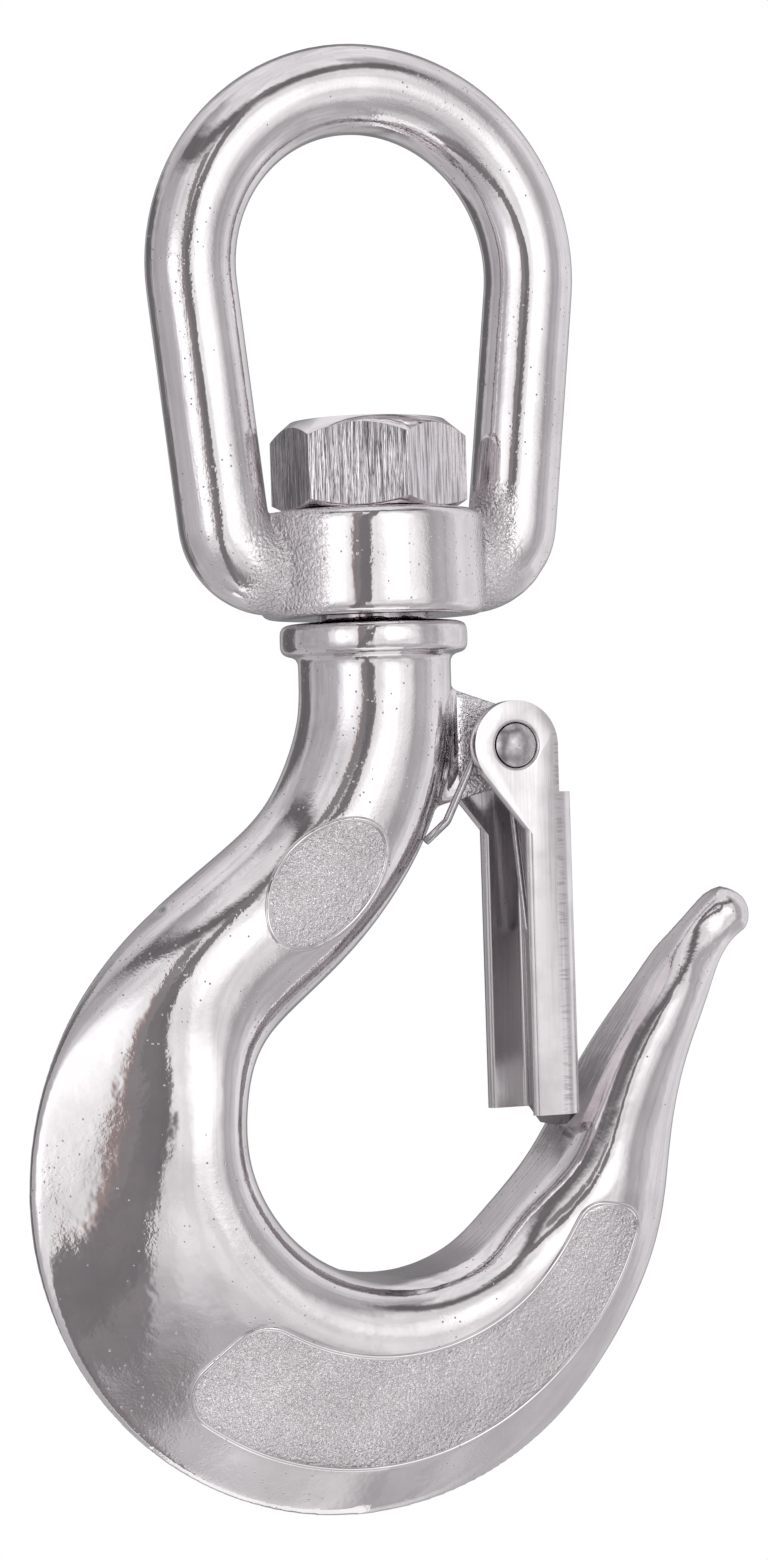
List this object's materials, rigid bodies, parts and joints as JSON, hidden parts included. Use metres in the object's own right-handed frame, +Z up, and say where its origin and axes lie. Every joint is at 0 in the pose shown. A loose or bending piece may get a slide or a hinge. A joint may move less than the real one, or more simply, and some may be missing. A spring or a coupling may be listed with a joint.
{
  "type": "swivel eye hook",
  "caption": "Cast steel slip hook on a swivelling eye, with a stem and nut through the eye's boss and a sprung sheet latch that closes the throat on the tip.",
  "frame": {"origin": "inside crown of the eye, on the swivel axis, where the hook hangs", "axes": "+Z up along the swivel axis from the bowl to the eye, +X from the back of the hook to its tip and latch, -Y the side with the cast panels"},
  "size_m": [0.0869, 0.025, 0.1629],
  "materials": {
    "cast_steel": "polished stainless casting with fine pits",
    "nut_steel": "drawn bar with brushed flats",
    "sheet_steel": "satin folded sheet",
    "wire_steel": "smooth drawn spring wire"
  },
  "bodies": {
    "eye": {"swivel_eye": "cast_steel"},
    "hook": {"hook_body": "cast_steel", "swivel_nut": "nut_steel", "latch_pin": "nut_steel", "latch_spring": "wire_steel"},
    "latch": {"safety_latch": "sheet_steel"}
  },
  "joints": [
    {"name": "swivel", "type": "hinge", "parent": "eye", "child": "hook", "pos_m": [0, 0, -0.0478], "axis": [0, 0, 1], "continuous": true},
    {"name": "latch_hinge", "type": "hinge", "parent": "hook", "child": "latch", "pos_m": [0.0139, 0, -0.0684], "axis": [0, 1, 0], "range_deg": [0, 44], "stiffness_Nm_per_rad": 0.02, "springref_deg": -34.38, "deforming": ["latch_spring"]}
  ]
}
